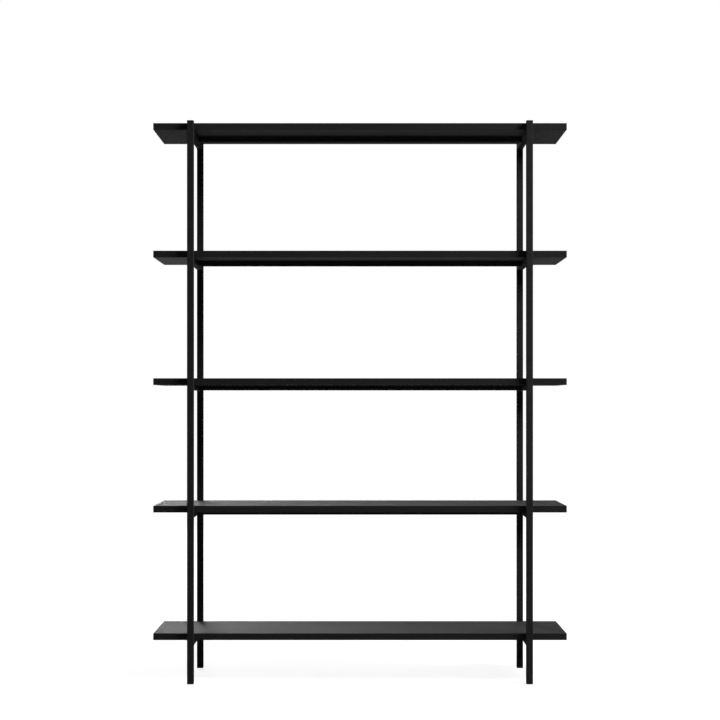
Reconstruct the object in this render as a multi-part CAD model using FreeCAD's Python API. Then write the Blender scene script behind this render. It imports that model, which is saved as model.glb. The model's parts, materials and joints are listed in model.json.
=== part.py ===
import FreeCAD
import Part
import math
import os

# Open bookcase in matte black. Boards lie between slim square posts, on cross bars that are welded
# to the posts as two ladder-like side frames. A centre rail under each board ties the frames together.
# Millimetres. +X is to the right seen from the front, +Y to the back, +Z up.
# The origin is on the floor, under the middle of the bookcase.

# Boards
BOARD_COUNT = 5
BOARD_LENGTH = 1600.0
BOARD_DEPTH = 320.0
BOARD_THICKNESS = 26.0
BOARD_EDGE_RADIUS = 1.0
BOARD_PITCH = 493.5
LOWEST_BOARD_TOP = 192.5

# Posts, of square tube
POST_WIDTH = 25.0
POST_WALL = 1.5
POST_CORNER_RADIUS = 2.0
POST_AXIS_TO_BOARD_END = 146.0
POST_TO_BOARD_CLEARANCE = 0.5
POST_ABOVE_TOP_BOARD = 6.5

# Cross bars, of flat tube as wide as the posts, and centre rails, of square tube as high as the cross bars
BAR_HEIGHT = 20.0
BAR_WALL = 1.5
BAR_CORNER_RADIUS = 2.0

# Caps and inserts that plug the ends of the posts
CAP_HEAD_HEIGHT = 3.0
CAP_HEAD_BEVEL = 0.8
CAP_STEM_LENGTH = 18.0
INSERT_FLANGE_HEIGHT = 2.0
INSERT_STEM_LENGTH = 22.0
STEM_RIB_COUNT = 3
STEM_RIB_THICKNESS = 1.2
STEM_RIB_REACH = 1.0
STEM_CLEARANCE = 0.1

# Levelling feet, screwed right in
FOOT_PAD_HEIGHT = 4.0
FOOT_PAD_SETBACK = 0.25
FOOT_PAD_BEVEL = 0.6
FOOT_PAD_GAP = 0.3
FOOT_STUD_DIAMETER = 8.0
FOOT_STUD_LENGTH = 28.0
FOOT_STUD_HEAD_WIDTH = 13.0
FOOT_STUD_HEAD_HEIGHT = 2.5
FOOT_STUD_HEAD_CLEARANCE = 0.1

# Bolts that hold the centre rails between the cross bars
RAIL_PLUG_LENGTH = 20.0
RAIL_PLUG_CLEARANCE = 0.1
RAIL_BOLT_DIAMETER = 6.0
RAIL_BOLT_GRIP = 12.0
RAIL_BOLT_HEAD_DIAMETER = 10.5
RAIL_BOLT_HEAD_HEIGHT = 3.3
RAIL_BOLT_HEAD_ROUND = 2.0
RAIL_BOLT_SOCKET_WIDTH = 4.0
RAIL_BOLT_SOCKET_DEPTH = 2.0
RAIL_BOLT_HOLE_CLEARANCE = 0.3
WASHER_DIAMETER = 12.0
WASHER_THICKNESS = 1.6

# Screws that hold the boards down on the cross bars, and their threaded sleeves in the boards
BOARD_SCREW_TO_EDGE = 60.0
BOARD_SCREW_DIAMETER = 5.0
BOARD_SCREW_GRIP = 11.0
BOARD_SCREW_HEAD_DIAMETER = 9.0
BOARD_SCREW_HEAD_HEIGHT = 2.8
BOARD_SCREW_HEAD_ROUND = 1.6
BOARD_SCREW_SOCKET_WIDTH = 3.0
BOARD_SCREW_SOCKET_DEPTH = 1.6
BOARD_SCREW_HOLE_CLEARANCE = 0.3
SLEEVE_DIAMETER = 7.2
SLEEVE_LENGTH = 13.0
SLEEVE_CLEARANCE = 0.05
SLEEVE_HOLE_SPARE_DEPTH = 1.0

THREAD_CLEARANCE = 0.05

# Places and sizes that follow from the above
POST_X = BOARD_LENGTH / 2 - POST_AXIS_TO_BOARD_END
POST_INNER_FACE_Y = BOARD_DEPTH / 2 + POST_TO_BOARD_CLEARANCE
POST_Y = POST_INNER_FACE_Y + POST_WIDTH / 2
POST_BORE_WIDTH = POST_WIDTH - 2 * POST_WALL
POST_BORE_RADIUS = max(POST_CORNER_RADIUS - POST_WALL, 0)
BAR_WIDTH = POST_WIDTH
BAR_BORE_HEIGHT = BAR_HEIGHT - 2 * BAR_WALL
BAR_BORE_RADIUS = max(BAR_CORNER_RADIUS - BAR_WALL, 0)
BOARD_TOPS = [LOWEST_BOARD_TOP + level * BOARD_PITCH for level in range(BOARD_COUNT)]
BAR_DROP = BOARD_THICKNESS + BAR_HEIGHT / 2
INSERT_BOTTOM = FOOT_PAD_HEIGHT + FOOT_PAD_GAP
POST_BOTTOM = INSERT_BOTTOM + INSERT_FLANGE_HEIGHT
CAP_TOP = BOARD_TOPS[-1] + POST_ABOVE_TOP_BOARD
POST_TOP = CAP_TOP - CAP_HEAD_HEIGHT
RAIL_WIDTH = BAR_HEIGHT
RAIL_LENGTH = 2 * (POST_X - BAR_WIDTH / 2)
SCREW_Y = BOARD_DEPTH / 2 - BOARD_SCREW_TO_EDGE

X_AXIS = FreeCAD.Vector(1, 0, 0)
Y_AXIS = FreeCAD.Vector(0, 1, 0)
Z_AXIS = FreeCAD.Vector(0, 0, 1)
ORIGIN = FreeCAD.Vector(0, 0, 0)
SIDES = {"left": -1, "right": 1}
ENDS = {"front": -1, "rear": 1}


def placed(shape, x, y, z):
    """A copy of the shape, moved from the origin to a point."""
    copy = shape.copy()
    copy.translate(FreeCAD.Vector(x, y, z))
    return copy


def turned(shape, axis, degrees):
    """A copy of the shape, turned about an axis through the origin."""
    copy = shape.copy()
    copy.rotate(ORIGIN, axis, degrees)
    return copy


def cylinder(diameter, bottom, top):
    """Upright cylinder on the Z axis, between two heights."""
    return Part.makeCylinder(diameter / 2, top - bottom, FreeCAD.Vector(0, 0, bottom))


def hexagon_prism(width, bottom, top):
    """Upright hexagonal prism on the Z axis, measured across its flats."""
    reach = width / math.sqrt(3)
    corners = [
        FreeCAD.Vector(reach * math.cos(math.radians(turn)), reach * math.sin(math.radians(turn)), bottom)
        for turn in range(0, 361, 60)
    ]
    return Part.Face(Part.makePolygon(corners)).extrude(FreeCAD.Vector(0, 0, top - bottom))


def rounded_prism(x_width, y_width, bottom, top, corner_radius):
    """Upright four-sided prism on the Z axis, with its upright edges rounded."""
    corner = FreeCAD.Vector(-x_width / 2, -y_width / 2, bottom)
    prism = Part.makeBox(x_width, y_width, top - bottom, corner)
    if corner_radius <= 0:
        return prism
    uprights = [edge for edge in prism.Edges if edge.BoundBox.ZLength > (top - bottom) / 2]
    return prism.makeFillet(corner_radius, uprights)


def square_prism(width, bottom, top, corner_radius):
    """Upright square prism on the Z axis, with its upright edges rounded."""
    return rounded_prism(width, width, bottom, top, corner_radius)


def edges_at_height(shape, height):
    """The edges of a shape that lie flat at one height."""
    return [
        edge
        for edge in shape.Edges
        if abs(edge.BoundBox.ZMin - height) < 1e-6 and abs(edge.BoundBox.ZMax - height) < 1e-6
    ]


def bar_tube(width, length):
    """Length of bar on the Z axis, centred on the origin, with its width along X and its height along Y."""
    outside = rounded_prism(width, BAR_HEIGHT, -length / 2, length / 2, BAR_CORNER_RADIUS)
    bore = rounded_prism(width - 2 * BAR_WALL, BAR_BORE_HEIGHT, -length / 2, length / 2, BAR_BORE_RADIUS)
    return outside.cut(bore)


def ribbed_stem(length):
    """Upright stem from the origin, with ribs all round that fit the bore of a post."""
    rib_width = POST_BORE_WIDTH - 2 * STEM_CLEARANCE
    core = square_prism(rib_width - 2 * STEM_RIB_REACH, 0, length, POST_BORE_RADIUS)
    rib_step = length / (STEM_RIB_COUNT + 1)
    ribs = [
        square_prism(
            rib_width,
            number * rib_step - STEM_RIB_THICKNESS / 2,
            number * rib_step + STEM_RIB_THICKNESS / 2,
            POST_BORE_RADIUS,
        )
        for number in range(1, STEM_RIB_COUNT + 1)
    ]
    return core.multiFuse(ribs)


def socket_screw(diameter, length, head_diameter, head_height, head_round, socket_width, socket_depth):
    """Round-headed screw that points up, with the seat of its head on the origin."""
    head = cylinder(head_diameter, -head_height, 0)
    head = head.makeFillet(head_round, edges_at_height(head, -head_height))
    socket = hexagon_prism(socket_width, -head_height, socket_depth - head_height)
    return head.fuse(cylinder(diameter, 0, length)).cut(socket)


def board(top):
    """One board, with a blind hole in its underside for each threaded sleeve."""
    bottom = top - BOARD_THICKNESS
    corner = FreeCAD.Vector(-BOARD_LENGTH / 2, -BOARD_DEPTH / 2, bottom)
    slab = Part.makeBox(BOARD_LENGTH, BOARD_DEPTH, BOARD_THICKNESS, corner)
    slab = slab.makeFillet(BOARD_EDGE_RADIUS, slab.Edges)
    hole_depth = SLEEVE_LENGTH + SLEEVE_HOLE_SPARE_DEPTH
    hole = cylinder(SLEEVE_DIAMETER + 2 * SLEEVE_CLEARANCE, 0, hole_depth)
    return slab.cut(Part.makeCompound(at_screws(hole, bottom)))


def at_screws(shape, height):
    """Copies of a shape at the four places where screws hold a board."""
    return [
        placed(shape, side * POST_X, end * SCREW_Y, height)
        for side in SIDES.values()
        for end in ENDS.values()
    ]


def post():
    """One post, upright on the Z axis."""
    outside = square_prism(POST_WIDTH, POST_BOTTOM, POST_TOP, POST_CORNER_RADIUS)
    return outside.cut(square_prism(POST_BORE_WIDTH, POST_BOTTOM, POST_TOP, POST_BORE_RADIUS))


def post_cap():
    """Cap for the top of a post: a bevelled head on a ribbed stem."""
    head = square_prism(POST_WIDTH, POST_TOP, CAP_TOP, POST_CORNER_RADIUS)
    head = head.makeChamfer(CAP_HEAD_BEVEL, edges_at_height(head, CAP_TOP))
    stem = placed(turned(ribbed_stem(CAP_STEM_LENGTH), X_AXIS, 180), 0, 0, POST_TOP)
    return head.fuse(stem)


def foot_insert():
    """Insert for the bottom of a post: a flange under a ribbed stem, bored for the foot's stud."""
    flange = square_prism(POST_WIDTH, INSERT_BOTTOM, POST_BOTTOM, POST_CORNER_RADIUS)
    stem = placed(ribbed_stem(INSERT_STEM_LENGTH), 0, 0, POST_BOTTOM)
    bore_diameter = FOOT_STUD_DIAMETER + 2 * THREAD_CLEARANCE
    bore = cylinder(bore_diameter, INSERT_BOTTOM, POST_BOTTOM + INSERT_STEM_LENGTH)
    return flange.fuse(stem).cut(bore)


def foot_pad():
    """Square pad of a foot, in line with its post, with a hexagonal pocket for the head of its stud."""
    corner_radius = max(POST_CORNER_RADIUS - FOOT_PAD_SETBACK, 0)
    pad = square_prism(POST_WIDTH - 2 * FOOT_PAD_SETBACK, 0, FOOT_PAD_HEIGHT, corner_radius)
    pad = pad.makeChamfer(FOOT_PAD_BEVEL, edges_at_height(pad, 0))
    pocket_width = FOOT_STUD_HEAD_WIDTH + 2 * FOOT_STUD_HEAD_CLEARANCE
    pocket = hexagon_prism(pocket_width, FOOT_PAD_HEIGHT - FOOT_STUD_HEAD_HEIGHT, FOOT_PAD_HEIGHT)
    return pad.cut(pocket)


def foot_stud():
    """Threaded stud of a foot, with its head sunk in the pad."""
    head = hexagon_prism(FOOT_STUD_HEAD_WIDTH, FOOT_PAD_HEIGHT - FOOT_STUD_HEAD_HEIGHT, FOOT_PAD_HEIGHT)
    shank = cylinder(FOOT_STUD_DIAMETER, FOOT_PAD_HEIGHT, FOOT_PAD_HEIGHT + FOOT_STUD_LENGTH)
    return head.fuse(shank)


def cross_bar():
    """Cross bar along Y on the origin, drilled for the rail bolt and the two board screws."""
    tube = turned(bar_tube(BAR_WIDTH, 2 * POST_INNER_FACE_Y), X_AXIS, 90)
    bolt_hole = cylinder(RAIL_BOLT_DIAMETER + 2 * RAIL_BOLT_HOLE_CLEARANCE, -BAR_WIDTH, BAR_WIDTH)
    screw_hole = cylinder(BOARD_SCREW_DIAMETER + 2 * BOARD_SCREW_HOLE_CLEARANCE, -BAR_HEIGHT, BAR_HEIGHT)
    holes = [turned(bolt_hole, Y_AXIS, 90)]
    holes += [placed(screw_hole, 0, end * SCREW_Y, 0) for end in ENDS.values()]
    return tube.cut(Part.makeCompound(holes))


def centre_rail():
    """Centre rail along X on the origin."""
    return turned(bar_tube(RAIL_WIDTH, RAIL_LENGTH), Y_AXIS, 90)


def rail_plug():
    """Threaded plug that fills the left end of a centre rail at the origin."""
    plug = square_prism(BAR_BORE_HEIGHT - 2 * RAIL_PLUG_CLEARANCE, 0, RAIL_PLUG_LENGTH, BAR_BORE_RADIUS)
    bore = cylinder(RAIL_BOLT_DIAMETER + 2 * THREAD_CLEARANCE, 0, RAIL_PLUG_LENGTH)
    return placed(turned(plug.cut(bore), Y_AXIS, 90), -RAIL_LENGTH / 2, 0, 0)


def rail_washer():
    """Washer against the outer face of the left cross bar."""
    ring = cylinder(WASHER_DIAMETER, 0, WASHER_THICKNESS)
    hole = cylinder(RAIL_BOLT_DIAMETER + 2 * RAIL_BOLT_HOLE_CLEARANCE, 0, WASHER_THICKNESS)
    seat_x = -POST_X - BAR_WIDTH / 2 - WASHER_THICKNESS
    return placed(turned(ring.cut(hole), Y_AXIS, 90), seat_x, 0, 0)


def rail_bolt():
    """Bolt through the left cross bar into the plug of the centre rail."""
    bolt = socket_screw(
        RAIL_BOLT_DIAMETER,
        WASHER_THICKNESS + BAR_WIDTH + RAIL_BOLT_GRIP,
        RAIL_BOLT_HEAD_DIAMETER,
        RAIL_BOLT_HEAD_HEIGHT,
        RAIL_BOLT_HEAD_ROUND,
        RAIL_BOLT_SOCKET_WIDTH,
        RAIL_BOLT_SOCKET_DEPTH,
    )
    seat_x = -POST_X - BAR_WIDTH / 2 - WASHER_THICKNESS
    return placed(turned(bolt, Y_AXIS, 90), seat_x, 0, 0)


def at_rail_ends(shape):
    """Copies of a left-hand shape at both ends of the centre rail under each board."""
    return [
        placed(turned(shape, Z_AXIS, half_turn), 0, 0, top - BAR_DROP)
        for top in BOARD_TOPS
        for half_turn in (0, 180)
    ]


def board_screw():
    """Screw that points up, with its head under a cross bar."""
    return socket_screw(
        BOARD_SCREW_DIAMETER,
        BAR_HEIGHT + BOARD_SCREW_GRIP,
        BOARD_SCREW_HEAD_DIAMETER,
        BOARD_SCREW_HEAD_HEIGHT,
        BOARD_SCREW_HEAD_ROUND,
        BOARD_SCREW_SOCKET_WIDTH,
        BOARD_SCREW_SOCKET_DEPTH,
    )


def board_sleeve():
    """Threaded sleeve that takes a board screw, level with the underside of the board."""
    sleeve = cylinder(SLEEVE_DIAMETER, 0, SLEEVE_LENGTH)
    return sleeve.cut(cylinder(BOARD_SCREW_DIAMETER + 2 * THREAD_CLEARANCE, 0, SLEEVE_LENGTH))


def at_every_board(shape, drop):
    """Copies of a shape at every board's four screws, a drop below the top of the board."""
    return [copy for top in BOARD_TOPS for copy in at_screws(shape, top - drop)]


def write(name, *solids):
    """Write one named piece, or a group of like pieces, to its own file."""
    shape = solids[0] if len(solids) == 1 else Part.makeCompound(solids)
    if not shape.isValid():
        raise ValueError(f"{name} has a faulty shape")
    shape.exportStep(f"parts/{name}.step")


def write_posts():
    """The posts, with the cap on top and the insert and levelling foot at the bottom of each."""
    pieces = {
        "post": post(),
        "post_cap": post_cap(),
        "foot_insert": foot_insert(),
        "foot_pad": foot_pad(),
        "foot_stud": foot_stud(),
    }
    for end_name, end in ENDS.items():
        for side_name, side in SIDES.items():
            for piece_name, shape in pieces.items():
                write(f"{end_name}_{side_name}_{piece_name}", placed(shape, side * POST_X, end * POST_Y, 0))


def write_shelves():
    """The boards, numbered from the bottom, with the two cross bars and the centre rail under each."""
    bar = cross_bar()
    rail = centre_rail()
    for number, top in enumerate(BOARD_TOPS, start=1):
        write(f"shelf_board_{number}", board(top))
        write(f"centre_rail_{number}", placed(rail, 0, 0, top - BAR_DROP))
        for side_name, side in SIDES.items():
            write(f"{side_name}_cross_bar_{number}", placed(bar, side * POST_X, 0, top - BAR_DROP))


def write_fasteners():
    """The bolts of the centre rails and the screws of the boards, with what they screw into."""
    write("rail_end_plugs", *at_rail_ends(rail_plug()))
    write("rail_washers", *at_rail_ends(rail_washer()))
    write("rail_bolts", *at_rail_ends(rail_bolt()))
    write("board_screws", *at_every_board(board_screw(), BOARD_THICKNESS + BAR_HEIGHT))
    write("board_sleeves", *at_every_board(board_sleeve(), BOARD_THICKNESS))


os.makedirs("parts", exist_ok=True)
write_posts()
write_shelves()
write_fasteners()
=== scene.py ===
import json
import math

import bmesh
import bpy
from bpy.props import FloatProperty, FloatVectorProperty, IntProperty, PointerProperty
from mathutils import Matrix, Vector

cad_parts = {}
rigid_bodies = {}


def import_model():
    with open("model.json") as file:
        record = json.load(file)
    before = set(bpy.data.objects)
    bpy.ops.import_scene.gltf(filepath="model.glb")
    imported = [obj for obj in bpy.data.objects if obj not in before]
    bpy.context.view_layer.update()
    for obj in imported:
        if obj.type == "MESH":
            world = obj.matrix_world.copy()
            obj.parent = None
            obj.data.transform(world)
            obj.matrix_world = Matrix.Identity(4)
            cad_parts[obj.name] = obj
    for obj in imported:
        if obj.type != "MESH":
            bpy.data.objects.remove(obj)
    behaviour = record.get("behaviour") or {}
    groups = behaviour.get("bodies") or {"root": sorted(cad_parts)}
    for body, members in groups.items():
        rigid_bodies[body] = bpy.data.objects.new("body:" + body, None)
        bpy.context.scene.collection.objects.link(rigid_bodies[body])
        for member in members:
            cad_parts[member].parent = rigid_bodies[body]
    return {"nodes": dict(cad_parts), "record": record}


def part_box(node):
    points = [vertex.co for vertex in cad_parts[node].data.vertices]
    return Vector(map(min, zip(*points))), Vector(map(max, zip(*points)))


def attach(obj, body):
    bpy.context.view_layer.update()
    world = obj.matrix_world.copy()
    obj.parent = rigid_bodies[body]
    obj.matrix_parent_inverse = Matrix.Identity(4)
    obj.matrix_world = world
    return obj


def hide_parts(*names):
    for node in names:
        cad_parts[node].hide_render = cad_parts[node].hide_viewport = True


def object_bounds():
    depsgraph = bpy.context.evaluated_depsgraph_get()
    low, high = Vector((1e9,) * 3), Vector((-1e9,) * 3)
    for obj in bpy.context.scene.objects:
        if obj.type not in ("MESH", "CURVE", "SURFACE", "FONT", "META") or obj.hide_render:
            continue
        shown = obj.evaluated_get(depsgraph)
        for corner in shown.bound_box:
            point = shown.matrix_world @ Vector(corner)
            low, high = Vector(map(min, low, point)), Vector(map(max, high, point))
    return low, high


bl_info = {
    "name": "Open Bookcase",
    "version": (1, 0, 0),
    "blender": (4, 5, 0),
    "location": "3D View > Sidebar > Bookcase",
    "description": "Finishes, welds and foot threads of an open bookcase, and its stage",
    "category": "Object",
}

# Looks of an open bookcase: matte black boards between slim square posts, on cross bars and centre
# rails. The solids come from the frame, in metres: +X to the right seen from the front, +Y to the
# back, +Z up. Here they get their finishes, the welds of the side frames and the threads of the
# foot studs.

for leftover in list(bpy.data.objects):
    bpy.data.objects.remove(leftover)

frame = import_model()
CAD_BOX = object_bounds()
RECORD = frame["record"]
SLOT_COLOURS = {material["slot"]: material["base_color"] for material in RECORD["materials"]}
CORNERS = [f"{end}_{side}" for end in ("front", "rear") for side in ("left", "right")]
CROSS_BARS = [name for name in frame["nodes"] if "_cross_bar_" in name]


# Settings that a user would change


class BookcaseFinishes(bpy.types.PropertyGroup):
    """Colours and surface detail of the bookcase's finishes."""

    board_colour: FloatVectorProperty(
        name="Boards",
        description="Colour of the lacquered boards",
        subtype="COLOR",
        size=3,
        min=0.0,
        max=1.0,
        default=SLOT_COLOURS["board_black"],
    )
    frame_colour: FloatVectorProperty(
        name="Frame",
        description="Colour of the powder coat on posts, bars and rails",
        subtype="COLOR",
        size=3,
        min=0.0,
        max=1.0,
        default=SLOT_COLOURS["frame_powder_coat"],
    )
    plug_colour: FloatVectorProperty(
        name="Caps and inserts",
        description="Colour of the moulded plugs at both ends of the posts",
        subtype="COLOR",
        size=3,
        min=0.0,
        max=1.0,
        default=SLOT_COLOURS["end_plug_plastic"],
    )
    foot_colour: FloatVectorProperty(
        name="Foot pads",
        description="Colour of the moulded pads under the posts",
        subtype="COLOR",
        size=3,
        min=0.0,
        max=1.0,
        default=SLOT_COLOURS["foot_plastic"],
    )
    fastener_colour: FloatVectorProperty(
        name="Bolts and screws",
        description="Colour of the blacked bolts, washers and screws",
        subtype="COLOR",
        size=3,
        min=0.0,
        max=1.0,
        default=SLOT_COLOURS["black_fastener"],
    )
    coat_grain: FloatProperty(
        name="Coat grain",
        description="Size of the grains in the powder coat",
        unit="LENGTH",
        subtype="DISTANCE",
        min=0.0001,
        precision=5,
        default=0.0006,
    )
    edge_rub: FloatProperty(
        name="Edge rub",
        description="How much the rounded edges are rubbed",
        subtype="FACTOR",
        min=0.0,
        max=1.0,
        default=0.35,
    )


class BookcaseWelds(bpy.types.PropertyGroup):
    """Sizes of the weld beads between cross bars and posts."""

    leg: FloatProperty(
        name="Leg",
        description="Reach of a bead along the underside of its cross bar",
        unit="LENGTH",
        subtype="DISTANCE",
        precision=5,
        default=0.0028,
    )
    ripple_step: FloatProperty(
        name="Ripple step",
        description="Distance from one ripple of a bead to the next",
        unit="LENGTH",
        subtype="DISTANCE",
        precision=5,
        default=0.0014,
    )
    tube_corner_radius: FloatProperty(
        name="Tube corners",
        description="Radius of the rounded edges of posts and cross bars",
        unit="LENGTH",
        subtype="DISTANCE",
        precision=5,
        default=0.002,
    )


class BookcaseThreads(bpy.types.PropertyGroup):
    """Sizes of the foot studs."""

    diameter: FloatProperty(
        name="Diameter",
        description="Diameter of a stud over its thread",
        unit="LENGTH",
        subtype="DISTANCE",
        precision=5,
        default=0.008,
    )
    pitch: FloatProperty(
        name="Pitch",
        description="Rise of the thread in one turn",
        unit="LENGTH",
        subtype="DISTANCE",
        precision=5,
        default=0.00125,
    )
    sides_per_turn: IntProperty(
        name="Sides per turn",
        description="Mesh columns round a stud, a multiple of six for the head's corners",
        min=12,
        step=6,
        default=48,
    )


class BookcaseStage(bpy.types.PropertyGroup):
    """Floor, lamps and camera."""

    floor_colour: FloatVectorProperty(
        name="Floor",
        description="Colour with which the floor throws light back",
        subtype="COLOR",
        size=3,
        min=0.0,
        max=1.0,
        default=(0.27, 0.27, 0.27),
    )
    fill_level: FloatProperty(
        name="Fill",
        description="Level of the soft light from all round",
        min=0.0,
        default=0.1,
    )
    key_power: FloatProperty(
        name="Key lamp",
        description="Power of the soft lamp at the front right",
        unit="POWER",
        min=0.0,
        default=485.0,
    )
    sheen_power: FloatProperty(
        name="Sheen lamp",
        description="Power of the high lamp at the back left, for the sheen of the boards",
        unit="POWER",
        min=0.0,
        default=225.0,
    )
    low_power: FloatProperty(
        name="Low lamp",
        description="Power of the low, narrow lamp at the back left, for the two lowest boards",
        unit="POWER",
        min=0.0,
        default=12.5,
    )
    side_power: FloatProperty(
        name="Side lamp",
        description="Power of the soft lamp at the left",
        unit="POWER",
        min=0.0,
        default=110.0,
    )
    camera_distance: FloatProperty(
        name="Camera distance",
        description="Distance from the camera to the middle of the bookcase",
        unit="LENGTH",
        subtype="DISTANCE",
        min=1.0,
        default=5.844,
    )
    camera_height: FloatProperty(
        name="Camera height",
        description="Height of the camera above the floor",
        unit="LENGTH",
        subtype="DISTANCE",
        min=0.0,
        default=1.091,
    )
    camera_lens: FloatProperty(
        name="Lens",
        description="Focal length of the camera",
        unit="CAMERA",
        min=1.0,
        default=73.48,
    )
    camera_shift: FloatProperty(
        name="Shift",
        description="Upward shift of the level camera, as a share of the picture's width",
        default=0.0571,
    )


# Node trees


def add_node(tree, kind, inputs=None, **settings):
    """A new node, with its settings, and with its inputs linked or set."""
    node = tree.nodes.new(kind)
    for setting, value in settings.items():
        setattr(node, setting, value)
    for socket, value in (inputs or {}).items():
        if isinstance(value, bpy.types.NodeSocket):
            tree.links.new(value, node.inputs[socket])
        else:
            node.inputs[socket].default_value = value
    return node


def new_finish(name):
    """A new material: itself, its node tree, its surface shader and the place in metres."""
    material = bpy.data.materials.new(name)
    material.use_nodes = True
    tree = material.node_tree
    place = add_node(tree, "ShaderNodeTexCoord").outputs["Object"]
    return material, tree, tree.nodes["Principled BSDF"], place


def noise(tree, place, feature_size, detail=2.0, stretch=(1.0, 1.0, 1.0)):
    """Soft noise from 0 to 1, with features of about one size, drawn out by the stretch."""
    scale = [1.0 / (feature_size * along) for along in stretch]
    scaled = add_node(tree, "ShaderNodeVectorMath", {0: place, 1: scale}, operation="MULTIPLY")
    inputs = {"Vector": scaled.outputs[0], "Scale": 1.0, "Detail": detail}
    return add_node(tree, "ShaderNodeTexNoise", inputs).outputs["Fac"]


def cells(tree, place, feature_size):
    """Distance to the middle of the nearest grain, about 0 to 1."""
    scale = {0: place, "Scale": 1.0 / feature_size}
    scaled = add_node(tree, "ShaderNodeVectorMath", scale, operation="SCALE")
    inputs = {"Vector": scaled.outputs[0], "Scale": 1.0}
    return add_node(tree, "ShaderNodeTexVoronoi", inputs).outputs["Distance"]


def spread(tree, value, low, high, start=0.3, end=0.7):
    """A value from start to end, mapped to low to high and kept between them."""
    inputs = {"Value": value, "From Min": start, "From Max": end, "To Min": low, "To Max": high}
    return add_node(tree, "ShaderNodeMapRange", inputs).outputs["Result"]


def math_of(tree, operation, first, second):
    """Two values put together by one operation."""
    return add_node(tree, "ShaderNodeMath", {0: first, 1: second}, operation=operation).outputs[0]


def tinted(tree, colour, share):
    """A colour times a share that varies over the piece."""
    inputs = {0: list(colour), "Scale": share}
    return add_node(tree, "ShaderNodeVectorMath", inputs, operation="SCALE").outputs[0]


def lightened(colour, times):
    """A colour made a number of times as light."""
    return [times * part for part in colour]


def mixed(tree, share, first, second):
    """Two colours, mixed by a share."""
    colours = {0: share, 6: first, 7: second}
    for socket in (6, 7):
        if not isinstance(colours[socket], bpy.types.NodeSocket):
            colours[socket] = (*colours[socket], 1.0)
    return add_node(tree, "ShaderNodeMix", colours, data_type="RGBA").outputs[2]


# Largest part of the normal, on a rounded edge and on a flat face
EDGE_TO_FACE = (0.75, 0.99)


def rounded_edges(tree):
    """1 on the rounded edges of a square-cut piece and 0 on its flat faces."""
    normal = add_node(tree, "ShaderNodeTexCoord").outputs["Normal"]
    size = add_node(tree, "ShaderNodeVectorMath", {0: normal}, operation="ABSOLUTE")
    parts = add_node(tree, "ShaderNodeSeparateXYZ", {0: size.outputs[0]}).outputs
    largest = math_of(tree, "MAXIMUM", math_of(tree, "MAXIMUM", parts[0], parts[1]), parts[2])
    return spread(tree, largest, 1.0, 0.0, *EDGE_TO_FACE)


def bump(tree, height, depth):
    """Normal of a surface whose height from 0 to 1 stands for a depth in metres."""
    return add_node(tree, "ShaderNodeBump", {"Height": height, "Distance": depth}).outputs["Normal"]


def connect(tree, surface, **sockets):
    """Link values to the surface shader's sockets, named with underscores for spaces."""
    for name, value in sockets.items():
        tree.links.new(value, surface.inputs[name.replace("_", " ")])


def dress(material, nodes):
    """Give a finish to pieces of the frame."""
    for name in nodes:
        mesh = frame["nodes"][name].data
        mesh.materials.clear()
        mesh.materials.append(material)


def nodes_in(slot):
    """The pieces of the frame that have one material slot."""
    return [part["node"] for part in RECORD["subparts"] if part["material_slot"] == slot]


# Finishes. Sizes of features and depths of relief are in metres. Shades are shares of the colour,
# and a range goes from low to high noise.

LACQUER_CLOUD_SIZE = 0.16
LACQUER_CLOUD_STRETCH = (2.5, 1.0, 1.0)
LACQUER_HAZE_SIZE = 0.012
LACQUER_PEEL_SIZE = 0.0024
LACQUER_GRAIN_SIZE = 0.0004
LACQUER_GRAIN_SHARE = 0.35
LACQUER_RELIEF = 0.000012
LACQUER_SHADES = (0.9, 1.1)
LACQUER_ROUGHNESS = (0.72, 0.76)
LACQUER_HAZE_ROUGHNESS = (-0.02, 0.02)
LACQUER_LEAST_RUB = 0.2
LACQUER_RUBBED_SHADE = 2.2
LACQUER_RUBBED_POLISH = 0.12
LACQUER_SPECULAR = 0.025


def board_lacquer(finishes):
    """Satin black lacquer on boards, sprayed, with a faint orange peel and clouds in its sheen."""
    material, tree, surface, place = new_finish("board_black_lacquer")
    clouds = noise(tree, place, LACQUER_CLOUD_SIZE, detail=3.0, stretch=LACQUER_CLOUD_STRETCH)
    haze = noise(tree, place, LACQUER_HAZE_SIZE, detail=3.0)
    peel = noise(tree, place, LACQUER_PEEL_SIZE, detail=1.0)
    grain = noise(tree, place, LACQUER_GRAIN_SIZE, detail=1.0)
    wear = spread(tree, haze, LACQUER_LEAST_RUB, finishes.edge_rub)
    rub = math_of(tree, "MULTIPLY", rounded_edges(tree), wear)
    colour = tinted(tree, finishes.board_colour, spread(tree, clouds, *LACQUER_SHADES))
    colour = mixed(tree, rub, colour, lightened(finishes.board_colour, LACQUER_RUBBED_SHADE))
    uneven = spread(tree, haze, *LACQUER_HAZE_ROUGHNESS)
    roughness = math_of(tree, "ADD", spread(tree, clouds, *LACQUER_ROUGHNESS), uneven)
    polish = math_of(tree, "MULTIPLY", rub, LACQUER_RUBBED_POLISH)
    roughness = math_of(tree, "SUBTRACT", roughness, polish)
    height = math_of(tree, "ADD", peel, math_of(tree, "MULTIPLY", grain, LACQUER_GRAIN_SHARE))
    normal = bump(tree, height, LACQUER_RELIEF)
    connect(tree, surface, Base_Color=colour, Roughness=roughness, Normal=normal)
    surface.inputs["Specular IOR Level"].default_value = LACQUER_SPECULAR
    return material


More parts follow.
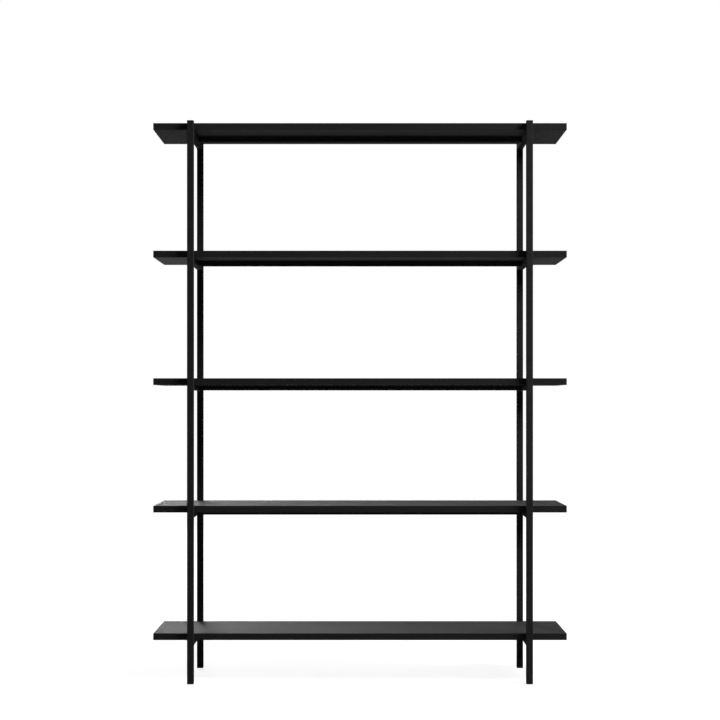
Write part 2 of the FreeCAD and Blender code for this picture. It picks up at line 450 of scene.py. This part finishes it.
COAT_CLOUD_SIZE = 0.05
COAT_FLOW_PER_GRAIN = 3.0
COAT_GRAIN_HEIGHT = -0.6
COAT_RELIEF = 0.00005
COAT_SHADES = (0.88, 1.12)
# Painted shade: the gaps between the coat's grains are darkened towards black
COAT_PAINTED_GAP_SHADE = (0.0, 0.2)
COAT_PAINTED_GAP_SHADE_REACH = (0.2, 0.8)
COAT_PAINTED_GAP_SHADE_COLOUR = (0.0, 0.0, 0.0)
COAT_ROUGHNESS = (0.84, 0.94)
COAT_CLOUD_ROUGHNESS = (-0.03, 0.03)
COAT_LEAST_RUB = 0.1
COAT_RUBBED_SHADE = 2.4
COAT_RUBBED_POLISH = 0.15
COAT_SPECULAR = 0.008


def powder_coat(finishes):
    """Matte black powder coat on steel, with fine grains that flow together, painted shade in the
    gaps between grains, and rubbed edges.
    """
    material, tree, surface, place = new_finish("frame_powder_coat")
    clouds = noise(tree, place, COAT_CLOUD_SIZE, detail=3.0)
    grains = cells(tree, place, finishes.coat_grain)
    flow = noise(tree, place, COAT_FLOW_PER_GRAIN * finishes.coat_grain, detail=2.0)
    wear = spread(tree, flow, COAT_LEAST_RUB, finishes.edge_rub)
    rub = math_of(tree, "MULTIPLY", rounded_edges(tree), wear)
    # Painted shade: the colour is darkened towards black in the gaps between grains, where the bump
    # sinks
    painted_gap_shade = spread(tree, grains, *COAT_PAINTED_GAP_SHADE, *COAT_PAINTED_GAP_SHADE_REACH)
    colour = tinted(tree, finishes.frame_colour, spread(tree, clouds, *COAT_SHADES))
    colour = mixed(tree, painted_gap_shade, colour, COAT_PAINTED_GAP_SHADE_COLOUR)
    colour = mixed(tree, rub, colour, lightened(finishes.frame_colour, COAT_RUBBED_SHADE))
    uneven = spread(tree, clouds, *COAT_CLOUD_ROUGHNESS)
    roughness = math_of(tree, "ADD", spread(tree, flow, *COAT_ROUGHNESS), uneven)
    polish = math_of(tree, "MULTIPLY", rub, COAT_RUBBED_POLISH)
    roughness = math_of(tree, "SUBTRACT", roughness, polish)
    height = math_of(tree, "ADD", math_of(tree, "MULTIPLY", grains, COAT_GRAIN_HEIGHT), flow)
    normal = bump(tree, height, COAT_RELIEF)
    connect(tree, surface, Base_Color=colour, Roughness=roughness, Normal=normal)
    surface.inputs["Specular IOR Level"].default_value = COAT_SPECULAR
    return material


PLASTIC_FLOW_SIZE = 0.009
PLASTIC_FLOW_STRETCH = (1.0, 1.0, 2.0)
PLASTIC_PIT_SIZE = 0.00035
PLASTIC_RELIEF = 0.00002
PLASTIC_SHADES = (0.85, 1.15)
PLASTIC_EDGE_RUB = 0.3
PLASTIC_RUBBED_SHADE = 2.0
PLASTIC_ROUGHNESS_SWING = 0.06
PLASTIC_SPECULAR = 0.03
PLUG_ROUGHNESS = 0.8
FOOT_ROUGHNESS = 0.84


def moulded_plastic(name, colour, roughness):
    """Black moulded plastic with a fine spark-eroded surface and faint flow marks."""
    material, tree, surface, place = new_finish(name)
    flow = noise(tree, place, PLASTIC_FLOW_SIZE, detail=2.0, stretch=PLASTIC_FLOW_STRETCH)
    pits = cells(tree, place, PLASTIC_PIT_SIZE)
    rub = math_of(tree, "MULTIPLY", rounded_edges(tree), PLASTIC_EDGE_RUB)
    shaded = tinted(tree, colour, spread(tree, flow, *PLASTIC_SHADES))
    shaded = mixed(tree, rub, shaded, lightened(colour, PLASTIC_RUBBED_SHADE))
    swing = PLASTIC_ROUGHNESS_SWING
    uneven = spread(tree, flow, roughness - swing, roughness + swing)
    normal = bump(tree, pits, PLASTIC_RELIEF)
    connect(tree, surface, Base_Color=shaded, Roughness=uneven, Normal=normal)
    surface.inputs["Specular IOR Level"].default_value = PLASTIC_SPECULAR
    return material


TOOL_MARK_ROUGHNESS = (-0.04, 0.04)
PLATING_PATCH_SIZE = 0.004
PLATING_MARK_SIZE = 0.0003
PLATING_MARK_STRETCH = (6.0, 6.0, 0.5)
PLATING_RELIEF = 0.000008
PLATING_SHADES = (0.8, 1.1)
PLATING_ROUGHNESS = (0.26, 0.42)


def plated_steel():
    """Zinc-plated steel, turned, with fine tool marks and dull patches."""
    material, tree, surface, place = new_finish("bright_steel_plated")
    patches = noise(tree, place, PLATING_PATCH_SIZE, detail=4.0)
    marks = noise(tree, place, PLATING_MARK_SIZE, detail=1.0, stretch=PLATING_MARK_STRETCH)
    colour = tinted(tree, SLOT_COLOURS["bright_steel"], spread(tree, patches, *PLATING_SHADES))
    uneven = spread(tree, marks, *TOOL_MARK_ROUGHNESS)
    roughness = math_of(tree, "ADD", spread(tree, patches, *PLATING_ROUGHNESS), uneven)
    normal = bump(tree, marks, PLATING_RELIEF)
    connect(tree, surface, Base_Color=colour, Roughness=roughness, Normal=normal)
    surface.inputs["Metallic"].default_value = 1.0
    return material


BLACKING_RUB_SIZE = 0.0018
BLACKING_GRAIN_SIZE = 0.0003
BLACKING_RELIEF = 0.000008
BLACKING_SHADES = (0.85, 1.15)
BLACKING_RUB = (0.0, 0.35)
BLACKING_RUB_REACH = (0.6, 0.75)
BLACKING_RUBBED_COLOUR = (0.09, 0.09, 0.092)
BLACKING_ROUGHNESS = (0.46, 0.34)
BLACKING_GRAIN_ROUGHNESS = (-0.03, 0.03)
BLACKING_SPECULAR = 0.12


def blacked_steel(finishes):
    """Blacked steel of bolts, washers and screws, rubbed grey in places by the key."""
    material, tree, surface, place = new_finish("black_fastener_steel")
    rubbed = noise(tree, place, BLACKING_RUB_SIZE, detail=4.0)
    fine = noise(tree, place, BLACKING_GRAIN_SIZE, detail=2.0)
    rub = spread(tree, rubbed, *BLACKING_RUB, *BLACKING_RUB_REACH)
    colour = tinted(tree, finishes.fastener_colour, spread(tree, fine, *BLACKING_SHADES))
    colour = mixed(tree, rub, colour, BLACKING_RUBBED_COLOUR)
    uneven = spread(tree, fine, *BLACKING_GRAIN_ROUGHNESS)
    roughness = math_of(tree, "ADD", spread(tree, rubbed, *BLACKING_ROUGHNESS), uneven)
    normal = bump(tree, fine, BLACKING_RELIEF)
    connect(tree, surface, Base_Color=colour, Roughness=roughness, Normal=normal)
    surface.inputs["Specular IOR Level"].default_value = BLACKING_SPECULAR
    return material


BRASS_TARNISH_SIZE = 0.003
BRASS_MARK_SIZE = 0.0002
BRASS_MARK_STRETCH = (8.0, 8.0, 0.5)
BRASS_RELIEF = 0.000006
BRASS_TARNISH = (0.0, 0.5)
BRASS_TARNISHED_COLOUR = (0.33, 0.22, 0.09)
BRASS_ROUGHNESS = (0.24, 0.45)


def turned_brass():
    """Turned brass of the sleeves, a little tarnished."""
    material, tree, surface, place = new_finish("sleeve_brass_turned")
    tarnish = noise(tree, place, BRASS_TARNISH_SIZE, detail=4.0)
    marks = noise(tree, place, BRASS_MARK_SIZE, detail=1.0, stretch=BRASS_MARK_STRETCH)
    dull = spread(tree, tarnish, *BRASS_TARNISH)
    colour = mixed(tree, dull, SLOT_COLOURS["sleeve_brass"], BRASS_TARNISHED_COLOUR)
    uneven = spread(tree, marks, *TOOL_MARK_ROUGHNESS)
    roughness = math_of(tree, "ADD", spread(tree, tarnish, *BRASS_ROUGHNESS), uneven)
    normal = bump(tree, marks, BRASS_RELIEF)
    connect(tree, surface, Base_Color=colour, Roughness=roughness, Normal=normal)
    surface.inputs["Metallic"].default_value = 1.0
    return material


# Shapes


def object_of(shape, name, material, crease_degrees):
    """A new object from a finished mesh shape, smooth apart from its sharp edges."""
    bmesh.ops.recalc_face_normals(shape, faces=shape.faces)
    mesh = bpy.data.meshes.new(name)
    shape.to_mesh(mesh)
    shape.free()
    mesh.shade_smooth()
    mesh.set_sharp_from_angle(angle=math.radians(crease_degrees))
    mesh.materials.append(material)
    piece = bpy.data.objects.new(name, mesh)
    bpy.context.scene.collection.objects.link(piece)
    return piece


# Thread form over one pitch: how far along, and how far from the root out to the crest. The thread
# is made with spare turns, which are cut off at both ends of the shank.
THREAD_FORM = ((0.0, 0.0), (0.25, 0.0), (0.5625, 1.0), (0.6875, 1.0))
THREAD_DEPTH_PER_PITCH = 0.6134
THREAD_SPARE_TURNS = 3
THREAD_SPARE_TURNS_BELOW = 2
THREAD_CREASE_DEGREES = 35.0
HEAD_SIDE_ANGLE = math.pi / 3
CUT_TOLERANCE = 1e-8
RIM_TOLERANCE = 1e-6


def helical_shank(shape, threads, low, high):
    """Threaded shank on the Z axis between two heights, open at both ends."""
    crest = threads.diameter / 2
    depth = THREAD_DEPTH_PER_PITCH * threads.pitch
    sides = threads.sides_per_turn
    form = len(THREAD_FORM)
    row_count = form * (math.ceil((high - low) / threads.pitch) + THREAD_SPARE_TURNS)
    rows = []
    for row in range(row_count):
        along, out = THREAD_FORM[row % form]
        start = low + (row // form + along - THREAD_SPARE_TURNS_BELOW) * threads.pitch
        ring = []
        for side in range(sides):
            turn = side / sides
            height = start + turn * threads.pitch
            bevel = max(0.0, height - (high - depth))
            radius = min(crest - depth * (1 - out), crest - bevel)
            angle = math.tau * turn
            point = (radius * math.cos(angle), radius * math.sin(angle), height)
            ring.append(shape.verts.new(point))
        rows.append(ring)
    for row in range(row_count - form - 1):
        for side in range(sides):
            if side + 1 < sides:
                near, far = rows[row][side + 1], rows[row + 1][side + 1]
            else:
                near, far = rows[row + form][0], rows[row + form + 1][0]
            shape.faces.new((rows[row][side], near, far, rows[row + 1][side]))
    for height, keep_above in ((low, True), (high, False)):
        everything = [*shape.verts, *shape.edges, *shape.faces]
        bmesh.ops.bisect_plane(
            shape,
            geom=everything,
            dist=CUT_TOLERANCE,
            plane_co=(0, 0, height),
            plane_no=(0, 0, 1),
            clear_inner=keep_above,
            clear_outer=not keep_above,
        )
    loose = [vert for vert in shape.verts if not vert.link_faces]
    bmesh.ops.delete(shape, geom=loose, context="VERTS")


def rim(shape, height):
    """The open edges of a shape at one height."""
    return [
        edge
        for edge in shape.edges
        if edge.is_boundary and all(abs(vert.co.z - height) < RIM_TOLERANCE for vert in edge.verts)
    ]


def extruded_rim(shape, edges):
    """Points and edges of a new rim, joined by faces to the given one."""
    made = bmesh.ops.extrude_edge_only(shape, edges=edges)["geom"]
    points = [part for part in made if isinstance(part, bmesh.types.BMVert)]
    rim_edges = [part for part in made if isinstance(part, bmesh.types.BMEdge) and part.is_boundary]
    return points, rim_edges


def in_fixed_order(shape):
    """The same closed shape with its points and faces in order of place, the same in each run."""
    bmesh.ops.recalc_face_normals(shape, faces=shape.faces)
    points = sorted(shape.verts, key=lambda point: tuple(point.co))
    number_of = {point: number for number, point in enumerate(points)}
    faces = [[number_of[point] for point in face.verts] for face in shape.faces]
    ordered = bmesh.new()
    placed = [ordered.verts.new(point.co) for point in points]
    for corners in sorted(faces, key=sorted):
        ordered.faces.new([placed[number] for number in corners])
    shape.free()
    return ordered


def stud_shape(threads, head_bottom, head_top, top, head_width):
    """Stud on the Z axis: a hexagonal head, and a threaded shank above it."""
    shape = bmesh.new()
    helical_shank(shape, threads, head_top, top)
    bmesh.ops.holes_fill(shape, edges=rim(shape, top), sides=0)
    points, edges = extruded_rim(shape, rim(shape, head_top))
    for point in points:
        angle = math.atan2(point.co.y, point.co.x)
        reach = head_width / 2 / math.cos(angle % HEAD_SIDE_ANGLE - HEAD_SIDE_ANGLE / 2)
        point.co.xy = reach * math.cos(angle), reach * math.sin(angle)
    points, edges = extruded_rim(shape, edges)
    for point in points:
        point.co.z = head_bottom
    bmesh.ops.holes_fill(shape, edges=edges, sides=0)
    return in_fixed_order(shape)


# Weld bead, in metres. Beside a bar it fills the groove along the post's rounded corner, where both
# are flush. Under the bar it lies in the corner between the two.
WELD_REACH_BESIDE_BAR = 0.0012
WELD_CROWN_BESIDE_BAR = 0.0003
WELD_REACH_ON_POST = 0.0022
WELD_CROWN_UNDER_BAR = 0.0004
WELD_SINK_IN_POST = 0.00075
WELD_SINK_IN_BAR = 0.0003
WELD_CLEAR_OF_BOARD = 0.0015
WELD_END_TAPER = 0.002
# Shares: the root of the groove's radius, the ripple of the crown, the lag at a toe of a ripple's
# step, and the bead's size at its ends
WELD_ROOT = (-0.85, -0.3)
WELD_RIPPLE = 0.45
WELD_RIPPLE_CURVE = 0.5
WELD_END_SIZE = 0.45
WELD_CROWN_POINTS = 6
WELD_STEPS_PER_RIPPLE = 4
WELD_CREASE_DEGREES = 50.0


def weld_path(half_width, half_height, corner_radius, step):
    """Points down one side of a bar, along its underside and up the other side.

    Each comes with its distances from both ends of the path, and with its outward direction.
    """
    straight = half_width - corner_radius
    upright = half_height - corner_radius
    top = half_height - WELD_CLEAR_OF_BOARD
    side_length = upright + top
    corner_length = math.pi / 2 * corner_radius
    # Down a side, round a corner, along the underside, round the other corner, up the other side
    runs = [side_length, corner_length, 2 * straight, corner_length, side_length]
    total = sum(runs)
    count = math.ceil(total / step)
    path = []
    for number in range(count + 1):
        along = total * (number / count)
        left = along
        run = 0
        while run < len(runs) - 1 and left > runs[run]:
            left -= runs[run]
            run += 1
        if run == 0:
            point, out = Vector((-half_width, top - left)), Vector((-1, 0))
        elif run == 2:
            point, out = Vector((-straight + left, -half_height)), Vector((0, -1))
        elif run == 4:
            point, out = Vector((half_width, -upright + left)), Vector((1, 0))
        else:
            turn = math.pi if run == 1 else 1.5 * math.pi
            turn += left / corner_radius
            out = Vector((math.cos(turn), math.sin(turn)))
            middle = Vector((-straight if run == 1 else straight, -upright))
            point = middle + corner_radius * out
        path.append((along, total - along, point, out))
    return path


def weld_crown(toe_on_bar, toe_on_post, height, ripples_along):
    """Rippled crown of a bead between its two toes."""
    out = Vector((toe_on_bar.y - toe_on_post.y, toe_on_post.x - toe_on_bar.x)).normalized()
    crown = []
    for number in range(WELD_CROWN_POINTS):
        share = number / (WELD_CROWN_POINTS - 1)
        phase = ripples_along - WELD_RIPPLE_CURVE * (2 * share - 1) ** 2
        ripple = 1 + WELD_RIPPLE * (1 - 2 * (phase % 1.0))
        rise = height * ripple * math.sin(math.pi * share)
        crown.append(toe_on_bar.lerp(toe_on_post, share) + rise * out)
    return crown


def weld_section(welds, ripples_along, taper, under):
    """Section of a bead, beside the bar where under is 0 and under the bar where it is 1.

    Each point is a distance out from the bar's face and one away from the post.
    """
    groove = welds.tube_corner_radius
    reach = WELD_REACH_BESIDE_BAR * taper
    toes = Vector((0, reach)), Vector((0, -groove - reach))
    beside = [Vector((-WELD_SINK_IN_BAR, reach))]
    beside += weld_crown(*toes, WELD_CROWN_BESIDE_BAR * taper, ripples_along)
    beside += [Vector((-WELD_SINK_IN_BAR, -groove - reach)), groove * Vector(WELD_ROOT)]
    reach = WELD_REACH_ON_POST * taper
    toes = Vector((0, welds.leg * taper)), Vector((reach, -WELD_SINK_IN_POST))
    below = [Vector((-WELD_SINK_IN_BAR, welds.leg * taper))]
    below += weld_crown(*toes, WELD_CROWN_UNDER_BAR * taper, ripples_along)
    below.append(Vector((reach / 2, -WELD_SINK_IN_POST)))
    below.append(Vector((-WELD_SINK_IN_BAR, -WELD_SINK_IN_POST)))
    return [first.lerp(second, under) for first, second in zip(beside, below)]


def add_bead(shape, welds, bar_box, post_face, inward):
    """One bead round the end of a cross bar, on the face of its post."""
    middle = (bar_box[0] + bar_box[1]) / 2
    half = (bar_box[1] - bar_box[0]) / 2
    step = welds.ripple_step / WELD_STEPS_PER_RIPPLE
    rings = []
    for along, left, point, out in weld_path(half.x, half.z, welds.tube_corner_radius, step):
        grown = math.sqrt(min(1.0, min(along, left) / WELD_END_TAPER))
        taper = WELD_END_SIZE + (1 - WELD_END_SIZE) * grown
        section = weld_section(welds, along / welds.ripple_step, taper, max(0.0, -out.y))
        ring = []
        for outward, away in section:
            x, z = point + outward * out
            y = post_face + inward * away
            ring.append(shape.verts.new((middle.x + x, y, middle.z + z)))
        rings.append(ring)
    size = len(rings[0])
    for first, second in zip(rings, rings[1:]):
        for number in range(size):
            following = (number + 1) % size
            shape.faces.new((first[number], first[following], second[following], second[number]))
    shape.faces.new(rings[0])
    shape.faces.new(list(reversed(rings[-1])))


# Stage

# Floor: how far it reaches, and the distances between which its shadow fades out, in metres. It
# shows white by its own light and by a share of the lamps' light, which leaves the shadow.
FLOOR_REACH = 40.0
FLOOR_SHADOW_REACH = (1.2, 4.0)
FLOOR_OWN_LIGHT = 0.84
FLOOR_SHADOW_SHARE = 0.25
FLOOR_CREASE_DEGREES = 30.0
WHITE = (1.0, 1.0, 1.0, 1.0)

# Lamps: where each stands, what it faces if that isn't the bookcase's middle, and its width and
# height, in metres
KEY_PLACE = (4.0, -2.2, 4.2)
KEY_SIZE = (2.0, 2.0)
SHEEN_PLACE = (-2.0, 6.0, 2.8)
SHEEN_TARGET = (0.0, 0.0, 0.6)
SHEEN_SIZE = (2.0, 1.2)
LOW_PLACE = (-2.6, 6.0, 1.15)
LOW_TARGET = (-0.3, 0.0, 0.4)
LOW_SIZE = (2.0, 0.5)
LOW_BEAM_DEGREES = 30.0
SIDE_PLACE = (-5.0, 1.0, 1.6)
SIDE_SIZE = (2.0, 2.0)
FULL_BEAM_DEGREES = 180.0


def seen_directly(tree):
    """1 for rays that show the background: from the camera, off gloss or through glass."""
    path = add_node(tree, "ShaderNodeLightPath").outputs
    seen = math_of(tree, "MAXIMUM", path["Is Camera Ray"], path["Is Glossy Ray"])
    return math_of(tree, "MAXIMUM", seen, path["Is Transmission Ray"])


def either_of(tree, share, first, second):
    """Two shaders, mixed by a share."""
    inputs = {0: share, 1: first.outputs[0], 2: second.outputs[0]}
    return add_node(tree, "ShaderNodeMixShader", inputs)


def floor_paper(colour):
    """Pale floor that shows white, with a light shadow, and that is see-through from below."""
    material, tree, surface, place = new_finish("floor_paper")
    tree.nodes.remove(surface)
    lit = add_node(tree, "ShaderNodeBsdfDiffuse", {"Color": (*colour, 1.0)})
    shadow_grey = (*[FLOOR_SHADOW_SHARE] * 3, 1.0)
    shaded = add_node(tree, "ShaderNodeBsdfDiffuse", {"Color": shadow_grey})
    distance = add_node(tree, "ShaderNodeVectorMath", {0: place}, operation="LENGTH")
    away = distance.outputs["Value"]
    own_light = spread(tree, away, FLOOR_OWN_LIGHT, 1.0, *FLOOR_SHADOW_REACH)
    white = add_node(tree, "ShaderNodeEmission", {"Strength": own_light})
    shown = add_node(tree, "ShaderNodeAddShader", {0: shaded.outputs[0], 1: white.outputs[0]})
    top = either_of(tree, seen_directly(tree), lit, shown)
    below = add_node(tree, "ShaderNodeBsdfTransparent")
    backface = add_node(tree, "ShaderNodeNewGeometry").outputs["Backfacing"]
    both = either_of(tree, backface, top, below)
    tree.links.new(both.outputs[0], tree.nodes["Material Output"].inputs["Surface"])
    return material


def add_floor(colour):
    """Flat floor under the bookcase."""
    shape = bmesh.new()
    bmesh.ops.create_grid(shape, x_segments=4, y_segments=4, size=FLOOR_REACH)
    floor = object_of(shape, "floor", floor_paper(colour), FLOOR_CREASE_DEGREES)


def set_background(fill_level):
    """White background, and soft even light for the rest."""
    world = bpy.data.worlds.new("studio")
    world.use_nodes = True
    tree = world.node_tree
    fill = add_node(tree, "ShaderNodeBackground", {"Color": WHITE, "Strength": fill_level})
    white = add_node(tree, "ShaderNodeBackground", {"Color": WHITE, "Strength": 1.0})
    both = either_of(tree, seen_directly(tree), fill, white)
    tree.links.new(both.outputs[0], tree.nodes["World Output"].inputs["Surface"])
    bpy.context.scene.world = world


def add_lamp(name, place, target, size, power, beam_degrees=FULL_BEAM_DEGREES):
    """Rectangular lamp that faces a point, with a beam of a given width."""
    data = bpy.data.lights.new(name, "AREA")
    data.shape = "RECTANGLE"
    data.size, data.size_y = size
    data.energy = power
    data.spread = math.radians(beam_degrees)
    lamp = bpy.data.objects.new(name, data)
    lamp.location = place
    facing = Vector(target) - Vector(place)
    lamp.rotation_euler = facing.to_track_quat("-Z", "Y").to_euler()
    lamp.visible_camera = False
    bpy.context.scene.collection.objects.link(lamp)


def add_camera(stage):
    """Level camera in front of the bookcase."""
    data = bpy.data.cameras.new("front_camera")
    data.lens = stage.camera_lens
    data.shift_y = stage.camera_shift
    camera = bpy.data.objects.new("front_camera", data)
    camera.location = (0.0, -stage.camera_distance, stage.camera_height)
    camera.rotation_euler = (math.pi / 2, 0.0, 0.0)
    bpy.context.scene.collection.objects.link(camera)
    bpy.context.scene.camera = camera


# Operators


class BOOKCASE_OT_boards(bpy.types.Operator):
    """Lacquer the boards"""

    bl_idname = "bookcase.boards"
    bl_label = "Boards"

    def execute(self, context):
        dress(board_lacquer(context.scene.bookcase_finishes), nodes_in("board_black"))
        return {"FINISHED"}


class BOOKCASE_OT_side_frames(bpy.types.Operator):
    """Powder-coat the posts, cross bars and centre rails, and weld the cross bars to the posts"""

    bl_idname = "bookcase.side_frames"
    bl_label = "Side frames and rails"

    def execute(self, context):
        coat = powder_coat(context.scene.bookcase_finishes)
        dress(coat, nodes_in("frame_powder_coat"))
        shape = bmesh.new()
        for name in CROSS_BARS:
            bar_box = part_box(name)
            for post_face, inward in ((bar_box[0].y, 1), (bar_box[1].y, -1)):
                add_bead(shape, context.scene.bookcase_welds, bar_box, post_face, inward)
        welds = object_of(shape, "cross_bar_welds", coat, WELD_CREASE_DEGREES)
        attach(welds, "bookcase")
        return {"FINISHED"}


class BOOKCASE_OT_end_plugs(bpy.types.Operator):
    """Give the caps and inserts of the posts their moulded plastic"""

    bl_idname = "bookcase.end_plugs"
    bl_label = "Post caps and inserts"

    def execute(self, context):
        colour = context.scene.bookcase_finishes.plug_colour
        plastic = moulded_plastic("end_plug_plastic_moulded", colour, PLUG_ROUGHNESS)
        dress(plastic, nodes_in("end_plug_plastic"))
        return {"FINISHED"}


class BOOKCASE_OT_feet(bpy.types.Operator):
    """Give the foot pads their plastic and cut the threads of the foot studs"""

    bl_idname = "bookcase.feet"
    bl_label = "Levelling feet"

    def execute(self, context):
        colour = context.scene.bookcase_finishes.foot_colour
        threads = context.scene.bookcase_threads
        plastic = moulded_plastic("foot_plastic_moulded", colour, FOOT_ROUGHNESS)
        dress(plastic, nodes_in("foot_plastic"))
        steel = plated_steel()
        for corner in CORNERS:
            stud_node = f"{corner}_foot_stud"
            low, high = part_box(stud_node)
            head_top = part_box(f"{corner}_foot_pad")[1].z
            shape = stud_shape(threads, low.z, head_top, high.z, high.y - low.y)
            middle = (low + high) / 2
            sideways = Matrix.Translation((middle.x, middle.y, 0))
            bmesh.ops.transform(shape, matrix=sideways, verts=shape.verts)
            stud = object_of(shape, f"{corner}_threaded_stud", steel, THREAD_CREASE_DEGREES)
            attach(stud, f"{corner}_foot")
            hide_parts(stud_node)
        dress(steel, nodes_in("bright_steel"))
        return {"FINISHED"}


class BOOKCASE_OT_fasteners(bpy.types.Operator):
    """Black the bolts, washers and screws, and give the sleeves their brass"""

    bl_idname = "bookcase.fasteners"
    bl_label = "Bolts, screws and sleeves"

    def execute(self, context):
        dress(blacked_steel(context.scene.bookcase_finishes), nodes_in("black_fastener"))
        dress(turned_brass(), nodes_in("sleeve_brass"))
        return {"FINISHED"}


class BOOKCASE_OT_stage(bpy.types.Operator):
    """Set up the floor, the background, the lamps and the camera"""

    bl_idname = "bookcase.stage"
    bl_label = "Stage"

    def execute(self, context):
        stage = context.scene.bookcase_stage
        middle = (CAD_BOX[0] + CAD_BOX[1]) / 2
        add_floor(stage.floor_colour)
        set_background(stage.fill_level)
        add_lamp("key_lamp", KEY_PLACE, middle, KEY_SIZE, stage.key_power)
        add_lamp("sheen_lamp", SHEEN_PLACE, SHEEN_TARGET, SHEEN_SIZE, stage.sheen_power)
        add_lamp("low_lamp", LOW_PLACE, LOW_TARGET, LOW_SIZE, stage.low_power, LOW_BEAM_DEGREES)
        add_lamp("side_lamp", SIDE_PLACE, middle, SIDE_SIZE, stage.side_power)
        add_camera(stage)
        context.scene.view_settings.view_transform = "Standard"
        return {"FINISHED"}


class BOOKCASE_PT_panel(bpy.types.Panel):
    """Steps and settings of the bookcase"""

    bl_idname = "BOOKCASE_PT_panel"
    bl_label = "Open Bookcase"
    bl_space_type = "VIEW_3D"
    bl_region_type = "UI"
    bl_category = "Bookcase"

    def draw(self, context):
        for step in OPERATORS:
            self.layout.operator(step.bl_idname)
        for name, group in SETTINGS.items():
            box = self.layout.box()
            for setting in group.__annotations__:
                box.prop(getattr(context.scene, name), setting)


SETTINGS = {
    "bookcase_finishes": BookcaseFinishes,
    "bookcase_welds": BookcaseWelds,
    "bookcase_threads": BookcaseThreads,
    "bookcase_stage": BookcaseStage,
}
OPERATORS = (
    BOOKCASE_OT_boards,
    BOOKCASE_OT_side_frames,
    BOOKCASE_OT_end_plugs,
    BOOKCASE_OT_feet,
    BOOKCASE_OT_fasteners,
    BOOKCASE_OT_stage,
)
CLASSES = (*SETTINGS.values(), *OPERATORS, BOOKCASE_PT_panel)


def register():
    """Add the settings, the operators and the panel to Blender."""
    for item in CLASSES:
        bpy.utils.register_class(item)
    for name, group in SETTINGS.items():
        setattr(bpy.types.Scene, name, PointerProperty(type=group))


def unregister():
    """Take them out again."""
    for name in SETTINGS:
        delattr(bpy.types.Scene, name)
    for item in reversed(CLASSES):
        bpy.utils.unregister_class(item)


def main():
    """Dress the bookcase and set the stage."""
    register()
    bpy.ops.bookcase.boards()
    bpy.ops.bookcase.side_frames()
    bpy.ops.bookcase.end_plugs()
    bpy.ops.bookcase.feet()
    bpy.ops.bookcase.fasteners()
    bpy.ops.bookcase.stage()


if __name__ == "__main__":
    main()
